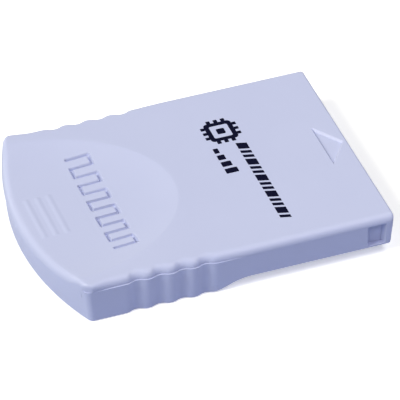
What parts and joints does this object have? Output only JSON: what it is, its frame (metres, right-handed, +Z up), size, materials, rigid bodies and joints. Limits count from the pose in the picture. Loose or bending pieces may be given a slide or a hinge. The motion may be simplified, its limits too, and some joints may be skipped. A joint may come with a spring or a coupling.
{
  "type": "console memory card",
  "caption": "Flat moulded data card with a dished, fluted thumb grip and a thinner stepped insert end whose open mouth shows a circuit board edge with contacts, for saving games on a console",
  "frame": {"origin": "centre of the card's outline, on the plane that the flat underside of the grip rests on", "axes": "+X points along the card to the insert end, +Y across the card, +Z up out of the dished face"},
  "size_m": [0.0612, 0.044, 0.008],
  "materials": {
    "case_plastic": "fine satin moulding, pale lavender blue",
    "board_laminate": "green solder mask",
    "contact_gold": "gold plated",
    "chip_moulding": "matt black moulding",
    "tinned_metal": "tinned",
    "capacitor_ceramic": "fired ceramic"
  },
  "bodies": {
    "root": {"upper_shell": "case_plastic", "lower_shell": "case_plastic", "circuit_board": "board_laminate", "contact_pads": "contact_gold", "memory_chip": "chip_moulding", "memory_chip_leads": "tinned_metal", "controller_chip": "chip_moulding", "controller_chip_leads": "tinned_metal", "capacitors": "capacitor_ceramic", "capacitor_terminals": "tinned_metal", "resistors": "chip_moulding", "resistor_terminals": "tinned_metal"}
  },
  "joints": []
}
